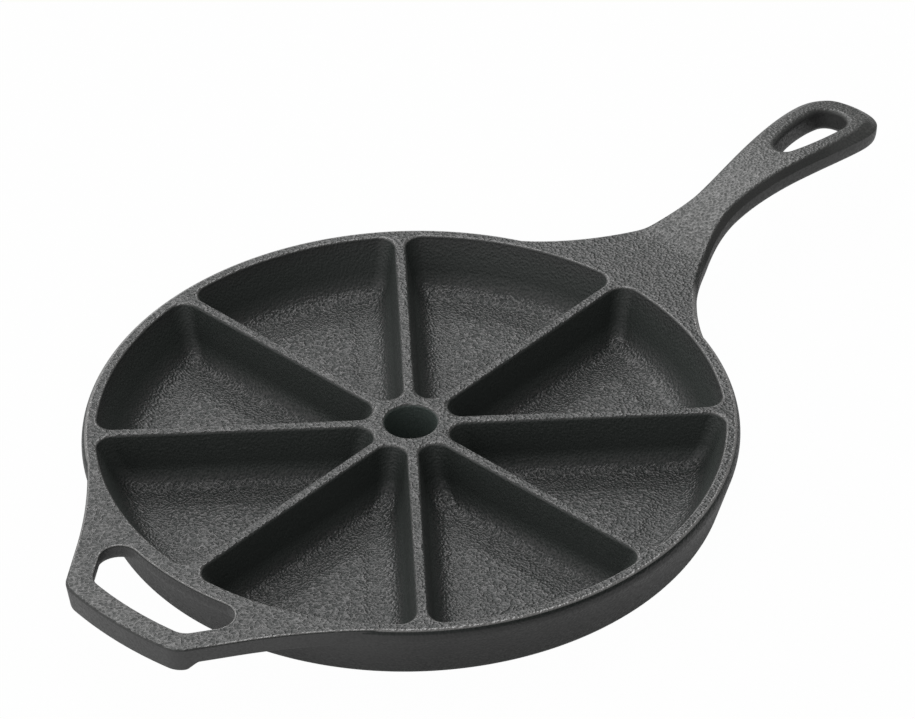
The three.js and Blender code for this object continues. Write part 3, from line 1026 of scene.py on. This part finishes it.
@dataclass
class LongHandle:
    """The long handle: flared root, neck, rising grip and the bulb with its hanging hole."""

    pan: Pan
    reach: float = 145.8
    rise: float = 12.2
    rise_start: float = 25.9
    rise_length: float = 65.5
    rise_turn: float = 0.09
    tip_droop: float = 5.2
    root_sink: float = 2.0
    root_edge: float = 1.2
    flare_half_width: float = 58.0
    flare_length: float = 34.0
    neck_half_width: float = 10.1
    neck_position: float = 55.8
    neck_length: float = 20.6
    bulb_half_width: float = 17.6
    bulb_from_tip: float = 19.6
    tip_fullness: float = 0.68
    root_thickness: float = 9.0
    grip_thickness: float = 9.2
    parting_depth: float = 2.9
    bevel: float = 2.3
    tip_bevel: float = 4.9
    tip_bevel_run: float = 60.0
    under_reach: float = 1.4
    top_edge: float = 0.9
    hole_wide_radius: float = 7.5
    hole_narrow_radius: float = 3.9
    hole_wide_from_tip: float = 20.8
    hole_centres: float = 27.3
    hole_top_edge: float = 2.7
    hole_under_edge: float = 2.2
    hole_taper: float = 1.7
    hole_wide_turn: float = math.radians(88.0)
    hole_narrow_turn: float = math.radians(108.0)
    hole_side_pull: float = 9.0
    hole_wide_steps: int = 40
    hole_side_steps: int = 16
    hole_narrow_steps: int = 24
    stations: int = 40
    edge_steps: int = 9
    corner_steps: int = 5
    pieces: list[bpy.types.Object] = field(default_factory=list)

    @property
    def tip(self) -> float:
        """Distance of the tip from the middle of the pan."""
        return self.pan.rim_radius + self.reach

    def height_at(self, x: float) -> float:
        """Give the rise of the handle's top above the rim.

        Args:
            x: Distance from the middle of the pan.

        Returns:
            The rise: a short turn up before the neck, a long ease to the crest and a slow fall
            to the tip.
        """
        start = self.pan.rim_radius + self.rise_start
        crest = start + self.rise_length
        climb = min(max((x - start) / self.rise_length, 0.0), 1.0)
        if climb < self.rise_turn:
            share = climb**2 / self.rise_turn
        else:
            share = 1.0 - (1.0 - climb) ** 2 / (1.0 - self.rise_turn)
        past = min(max((x - crest) / (self.tip - crest), 0.0), 1.0)
        return self.rise * share - self.tip_droop * past**2

    def side(self) -> list[tuple[Points, Points]]:
        """Draw one side of the handle in plan.

        Returns:
            Points from the root to the tip, each with its outward direction.
        """
        radius = self.pan.rim_radius - self.root_sink
        angle = math.asin(self.flare_half_width / radius)
        root = np.array([radius * math.cos(angle), self.flare_half_width])
        along_rim = np.array([math.sin(angle), -math.cos(angle)])
        neck = np.array([self.pan.rim_radius + self.neck_position, self.neck_half_width])
        bulb = np.array([self.tip - self.bulb_from_tip, self.bulb_half_width])
        tip = np.array([self.tip, 0.0])
        ahead = np.array([self.neck_length, 0.0])
        rounding = np.array([self.tip_fullness * (tip[0] - bulb[0]), 0.0])
        curves = [
            (root, root + along_rim * self.flare_length, neck - ahead, neck),
            (neck, neck + ahead, bulb - ahead, bulb),
            (bulb, bulb + rounding, np.array([tip[0], self.tip_fullness * bulb[1]]), tip),
        ]
        side = []
        for a, b, c, d in curves:
            for i in range(self.stations):
                t = i / self.stations
                u = 1 - t
                point = bezier((a, b, c, d), t)
                along = u * u * (b - a) + 2 * u * t * (c - b) + t * t * (d - c)
                along = along / np.linalg.norm(along)
                side.append((point, np.array([-along[1], along[0]])))
        side.append((tip, np.array([1.0, 0.0])))
        return side

    def edge(self, station: float) -> list[tuple[float, float]]:
        """Draw the handle's edge at one station.

        Args:
            station: Distance of the station from the middle of the pan.

        Returns:
            Distance in from the outline and depth below the top, from underneath round to the
            top: the lower side up to the parting line, the bevel and its rounded edge.
        """
        share = smooth((station - self.pan.rim_radius) / self.neck_position)
        tip_share = smooth((station - self.tip + self.tip_bevel_run) / self.tip_bevel_run)
        thickness = self.root_thickness + (self.grip_thickness - self.root_thickness) * share
        grip_bevel = self.bevel + (self.tip_bevel - self.bevel) * tip_share
        reach = self.root_edge + (grip_bevel - self.root_edge) * share
        depth = self.root_edge + (self.parting_depth - self.root_edge) * share
        lower = [
            (self.under_reach * (1 - sine), thickness - (thickness - depth) * (1 - cosine))
            for sine, cosine in quarter(self.edge_steps)
        ]
        down = self.top_edge / math.hypot(reach, depth)
        upper = []
        for i in range(self.corner_steps + 1):
            t = i / self.corner_steps
            outward, inward = (1 - t) ** 2 * down, t**2 * self.top_edge
            upper.append((reach * (1 - outward) + inward, depth * outward))
        return lower + upper

    def blank(self) -> Solid:
        """Loft the handle and pierce it.

        Returns:
            The handle, with its root buried in the pan's wall.
        """
        rings = []
        for i, (point, outward) in enumerate(self.side()):
            left = []
            for inset, drop in self.edge(point[0]):
                x = point[0] if i == 0 else point[0] - inset * outward[0]
                y = max(point[1] - inset * outward[1], 0.0)
                left.append((x, y, self.pan.height - drop + self.height_at(x)))
            half_ring = np.array(left)
            rings.append(np.vstack([half_ring, (half_ring * np.array([1.0, -1.0, 1.0]))[::-1]]))
        return Solid.lofted(rings, capped=False) - self.hole()

    def teardrop(self, outset: float) -> Points:
        """Draw the hanging hole in plan, with bowed sides.

        Args:
            outset: How far the outline is grown. The ends draw in further than the sides.

        Returns:
            The outline, from the near side of the wide end.
        """
        wide_turn, narrow_turn = self.hole_wide_turn, self.hole_narrow_turn
        wide = (self.tip - self.hole_wide_from_tip, 0.0)
        narrow = (wide[0] - self.hole_centres, 0.0)
        wide_end = arc(
            wide, self.hole_wide_radius + outset, -wide_turn, wide_turn, self.hole_wide_steps,
        )
        narrow_end = arc(
            narrow, self.hole_narrow_radius + outset, narrow_turn, 2 * math.pi - narrow_turn,
            self.hole_narrow_steps,
        )
        fuller = np.array([0.0, max(-outset, 0.0)])
        leave = self.hole_side_pull * np.array([-math.sin(wide_turn), math.cos(wide_turn)])
        arrive = self.hole_side_pull * np.array([-math.sin(narrow_turn), math.cos(narrow_turn)])
        first, last = wide_end[-1], narrow_end[0]
        control = (first, first + leave + fuller, last - arrive + fuller, last)
        shares = np.linspace(0.0, 1.0, self.hole_side_steps + 1)[1:-1]
        side = np.array([bezier(control, share) for share in shares])
        return np.vstack([wide_end, side, narrow_end, mirrored(side)])

    def hole(self) -> Solid:
        """Loft the hanging hole, which follows the handle's rise.

        Returns:
            The body that cuts it.
        """
        under = self.pan.height - self.grip_thickness
        rings = opening_rings(
            self.teardrop, self.pan.height, self.hole_top_edge, under, self.hole_under_edge,
            self.hole_taper,
        )
        for ring in rings:
            ring[:, 2] += [self.height_at(x) for x in ring[:, 0]]
        return Solid.lofted(rings)

    def build(self, casting: Solid, finish: bpy.types.Material) -> None:
        """Part the handle from the casting and dress it.

        Args:
            casting: The whole casting.
            finish: Its material.
        """
        seams = self.pan.seams()
        handle = seams.beyond_rim(casting, 0.0, seams.far)
        self.pieces.append(hand_over(handle, "long_handle_casting", "long_handle", finish))


@dataclass
class AssistHandle:
    """The looped assist handle opposite the long one, drawn about +X and turned round."""

    pan: Pan
    reach: float = 34.0
    half_width: float = 29.0
    side_angle: float = math.radians(34.4)
    corner: float = 10.0
    blend: float = 220.0
    blend_sink: float = 1.5
    web_thickness: float = 8.2
    bar_width: float = 10.3
    lip_thickness: float = 11.0
    lip_width: float = 3.0
    lip_ramp: float = 4.5
    side_bar: float = 9.8
    slot_corner: float = 7.5
    slot_top_edge: float = 0.9
    slot_under_edge: float = 5.2
    top_edge: float = 1.0
    under_edge: float = 1.2
    side_draft: float = 1.2
    edge_steps: int = 6
    corner_steps: int = 12
    blend_steps: int = 28
    front_steps: int = 32
    slot_steps: int = 28
    slot_end_steps: int = 14
    ramp_steps: int = 11
    pieces: list[bpy.types.Object] = field(default_factory=list)

    @property
    def radius(self) -> float:
        """Distance of the grip's outer face from the middle of the pan."""
        return self.pan.rim_radius + self.reach

    @property
    def normal(self) -> float:
        """Angle of the straight side's outward direction."""
        return math.pi / 2 - self.side_angle

    def beside(self, inset: float, radius: float) -> Points:
        """Find a point at a distance in from the straight side and a radius from the middle.

        Args:
            inset: Distance in from the side.
            radius: Distance from the middle of the pan.

        Returns:
            The point, in plan.
        """
        start = np.array([math.sqrt(self.radius**2 - self.half_width**2), self.half_width])
        along = np.array([-math.cos(self.side_angle), math.sin(self.side_angle)])
        inward = np.array([-math.sin(self.side_angle), -math.cos(self.side_angle)])
        start = start + inward * inset
        half = float(start @ along)
        step = -half - math.sqrt(half**2 - float(start @ start) + radius**2)
        return start + along * step

    def outline(self, inset: float) -> Points:
        """Draw the handle's outside in plan.

        Args:
            inset: How far the outline is drawn in.

        Returns:
            The closed outline, turning left.
        """
        corner = self.beside(self.corner, self.radius - self.corner)
        blend = self.beside(-self.blend, self.pan.rim_radius + self.blend - self.blend_sink)
        corner_angle = math.atan2(corner[1], corner[0])
        blend_end = math.atan2(blend[1], blend[0]) + math.pi
        upper = np.vstack([
            arc(corner, self.corner - inset, corner_angle, self.normal, self.corner_steps)[1:],
            arc(blend, self.blend + inset, self.normal + math.pi, blend_end, self.blend_steps),
        ])
        buried = upper[-1] / np.linalg.norm(upper[-1]) * self.pan.cavity_radius
        upper = np.vstack([upper, buried])
        radius = self.radius - inset
        front = arc((0.0, 0.0), radius, -corner_angle, corner_angle, self.front_steps)
        return np.vstack([front, upper, mirrored(upper)])

    def slot_outline(self, outset: float) -> Points:
        """Draw the finger slot in plan.

        Args:
            outset: How far the outline is grown.

        Returns:
            The closed outline, turning left.
        """
        outer_radius = self.radius - self.bar_width
        root = self.pan.rim_radius + self.pan.root_pad
        inset = self.side_bar + self.slot_corner
        outer = self.beside(inset, outer_radius - self.slot_corner)
        inner = self.beside(inset, root + self.slot_corner)
        outer_angle = math.atan2(outer[1], outer[0])
        inner_angle = math.atan2(inner[1], inner[0])
        radius = self.slot_corner + outset
        upper = np.vstack([
            arc(outer, radius, outer_angle, self.normal, self.corner_steps)[1:],
            arc(inner, radius, self.normal, inner_angle + math.pi, self.slot_end_steps),
        ])
        return np.vstack([
            arc((0.0, 0.0), outer_radius + outset, -outer_angle, outer_angle, self.slot_steps),
            upper,
            arc((0.0, 0.0), root - outset, inner_angle, -inner_angle, self.slot_steps)[1:-1],
            mirrored(upper),
        ])

    def plate(self, thickness: float) -> Solid:
        """Loft the handle's outside, with rounded edges and drafted sides.

        Args:
            thickness: How far down the plate reaches from the level of the rim's top.

        Returns:
            The plate, without the slot.
        """
        rings = []
        under = self.pan.height - thickness
        for sine, cosine in quarter(self.edge_steps):
            inset = self.side_draft + self.under_edge * (1 - sine)
            rings.append(raised(self.outline(inset), under + self.under_edge * (1 - cosine)))
        for sine, cosine in quarter(self.edge_steps):
            inset = self.top_edge * (1 - cosine)
            rings.append(raised(self.outline(inset), self.pan.height - self.top_edge * (1 - sine)))
        return Solid.lofted(rings)

    def blank(self) -> Solid:
        """Join the web and the deeper grip lip, and cut the finger slot.

        Returns:
            The handle, turned to its own side of the pan.
        """
        inside = self.radius - self.lip_width
        web_under = self.pan.height - self.web_thickness
        lip_under = self.pan.height - self.lip_thickness
        climb = self.lip_thickness - self.web_thickness + self.under_edge
        below, above = -self.pan.overshoot, self.pan.height + self.pan.overshoot
        ramp = [
            (inside - self.lip_ramp * share, lip_under + climb * smooth(share))
            for share in np.linspace(0.0, 1.0, self.ramp_steps + 1)
        ]
        behind = Solid.revolved(np.array([
            (0.0, below), (inside, below), *ramp, (inside - self.lip_ramp, above), (0.0, above),
        ]), self.pan.segments)
        slot = Solid.lofted(opening_rings(
            self.slot_outline, self.pan.height, self.slot_top_edge, web_under, self.slot_under_edge,
        ))
        lip = self.plate(self.lip_thickness) - behind
        return (self.plate(self.web_thickness) + lip - slot).turned(math.pi)

    def build(self, casting: Solid, finish: bpy.types.Material) -> None:
        """Part the handle from the casting and dress it.

        Args:
            casting: The whole casting.
            finish: Its material.
        """
        seams = self.pan.seams()
        handle = seams.beyond_rim(casting, -seams.far, 0.0)
        self.pieces.append(hand_over(handle, "assist_handle_casting", "assist_handle", finish))


@dataclass(frozen=True)
class PhotoCamera:
    """The camera of the photograph, placed about the middle of the rim's top.

    Its angles are in radians, and how far it sees is in metres.
    """

    azimuth: float = 0.807579
    elevation: float = 0.659573
    distance: float = 2144.155
    turn: float = -0.008679
    tilt: float = 0.010827
    roll: float = 0.024835
    focal_pixels: float = 5563.27
    sensor_width: float = 36.0
    sees_to: float = 50.0

    def build(self, target_height: float) -> bpy.types.Object:
        """Make the camera and use it for the scene.

        Args:
            target_height: Height of the rim's top, in millimetres.

        Returns:
            The camera.
        """
        lens = bpy.data.cameras.new("photo_camera")
        lens.sensor_width = self.sensor_width
        lens.sensor_fit = "HORIZONTAL"
        lens.lens = self.focal_pixels * self.sensor_width / IMAGE_WIDTH
        lens.clip_end = self.sees_to
        flat = math.cos(self.elevation)
        east, north = math.sin(self.azimuth), math.cos(self.azimuth)
        towards = Vector((-flat * east, -flat * north, math.sin(self.elevation)))
        right = Vector((north, -east, 0.0))
        axes = {"right": right, "upright": right.cross(-towards), "forward": -towards}
        swings = (("upright", self.turn), ("right", self.tilt), ("forward", self.roll))
        for name, angle in swings:
            swing = Quaternion(axes[name], angle)
            axes = {key: swing @ axis for key, axis in axes.items()}
        camera = bpy.data.objects.new("photo_camera", lens)
        facing = Matrix((axes["right"], axes["upright"], -axes["forward"])).transposed().to_4x4()
        place = (Vector((0.0, 0.0, target_height)) + towards * self.distance) * METRES_PER_MM
        camera.matrix_world = Matrix.Translation(place) @ facing
        bpy.context.scene.collection.objects.link(camera)
        bpy.context.scene.camera = camera
        return camera


@dataclass(frozen=True)
class Studio:
    """A white table under a tall soft light, in a room that is bright on the photo's left.

    Its lengths are in metres. Angles to a side are taken from straight behind the pan.
    """

    table_side: float = 6.0
    table_clearance: float = 0.0002
    table_tone: float = 0.5
    glow_share: float = 0.985
    mirrored_share: float = 0.3
    light_distance: float = 1.5
    light_elevation: float = math.radians(58.0)
    light_width: float = 0.9
    light_height: float = 1.9
    light_power: float = 18.5
    lamp_side: float = math.radians(-8.0)
    bright_level: float = 0.7
    dim_level: float = 0.12
    bright_side: float = math.radians(-95.0)
    dim_from: float = -0.6
    dim_to: float = 0.7

    def table(self) -> bpy.types.Object:
        """Lay the table top that the pan stands on.

        Returns:
            The table.
        """
        half = self.table_side / 2
        mesh = bpy.data.meshes.new("table")
        top = -self.table_clearance
        corners = [(-half, -half, top), (half, -half, top), (half, half, top), (-half, half, top)]
        mesh.from_pydata(corners, [], [(0, 1, 2, 3)])
        material = bpy.data.materials.new("white_table")
        material.use_nodes = True
        graph = Graph(material.node_tree)
        path = graph.node("ShaderNodeLightPath")
        mirrored_ray = graph.math(
            "MAXIMUM",
            Signal(graph, path.outputs["Is Glossy Ray"]),
            Signal(graph, path.outputs["Is Transmission Ray"]),
        )
        seen = graph.math(
            "MAXIMUM",
            Signal(graph, path.outputs["Is Camera Ray"]) * self.glow_share,
            mirrored_ray * self.mirrored_share,
        )
        paper = graph.node("ShaderNodeBsdfDiffuse", None, {"Color": grey(self.table_tone)})
        glow = graph.node("ShaderNodeEmission", None, {"Color": grey(1.0), "Strength": 1.0})
        mix = graph.node(
            "ShaderNodeMixShader", None,
            {0: seen, 1: paper.outputs[0], 2: glow.outputs[0]},
        )
        graph.node("ShaderNodeOutputMaterial", None, {"Surface": mix.outputs[0]})
        mesh.materials.append(material)
        table = bpy.data.objects.new("table", mesh)
        bpy.context.scene.collection.objects.link(table)
        return table

    def overhead(self, azimuth: float) -> bpy.types.Object:
        """Hang the tall soft light behind the pan, reaching over it.

        Args:
            azimuth: The camera's azimuth.

        Returns:
            The light.
        """
        side = azimuth + self.lamp_side
        flat = math.cos(self.light_elevation)
        towards = Vector((
            flat * math.sin(side), flat * math.cos(side), math.sin(self.light_elevation),
        ))
        lamp = bpy.data.lights.new("overhead_light", "AREA")
        lamp.shape = "RECTANGLE"
        lamp.size = self.light_width
        lamp.size_y = self.light_height
        lamp.energy = self.light_power
        light = bpy.data.objects.new("overhead_light", lamp)
        light.location = towards * self.light_distance
        light.rotation_euler = towards.to_track_quat("Z", "Y").to_euler()
        bpy.context.scene.collection.objects.link(light)
        return light

    def room(self, azimuth: float) -> bpy.types.World:
        """Surround the table with walls that dim from the bright side round to the other.

        Args:
            azimuth: The camera's azimuth.

        Returns:
            The world.
        """
        bright = azimuth + self.bright_side
        world = bpy.data.worlds.new("room")
        world.use_nodes = True
        graph = Graph(world.node_tree)
        where = graph.node("ShaderNodeTexCoord")
        dot = graph.node(
            "ShaderNodeVectorMath", {"operation": "DOT_PRODUCT"},
            {0: where.outputs["Generated"], 1: (math.sin(bright), math.cos(bright), 0.0)},
        )
        lit = Signal(graph, dot.outputs["Value"]).stepped(self.dim_from, self.dim_to)
        shade = graph.mixed(lit, grey(self.dim_level), grey(self.bright_level))
        light = graph.node("ShaderNodeBackground", None, {"Color": shade, "Strength": 1.0})
        graph.node("ShaderNodeOutputWorld", None, {"Surface": light.outputs[0]})
        bpy.context.scene.world = world
        return world


def main() -> None:
    """Build the skillet, its camera and its studio."""
    logging.basicConfig(level=logging.INFO, format="%(name)s: %(message)s")
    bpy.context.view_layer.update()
    bpy.context.scene.view_settings.view_transform = "Standard"
    pan = Pan()
    long_handle = LongHandle(pan)
    assist_handle = AssistHandle(pan)
    casting = pan.hollowed(pan.body() + long_handle.blank() + assist_handle.blank())
    LOG.info("whole casting, %d faces", len(casting.mesh.polygons))
    finish = SeasonedIron().material(IRON_SLOT)
    for region in (pan, long_handle, assist_handle):
        region.build(casting, finish)
        for piece in region.pieces:
            LOG.info("%s, %d faces", piece.name, len(piece.data.polygons))
    camera = PhotoCamera()
    camera.build(pan.height)
    studio = Studio()
    studio.table()
    studio.overhead(camera.azimuth)
    studio.room(camera.azimuth)


if __name__ == "__main__":
    main()
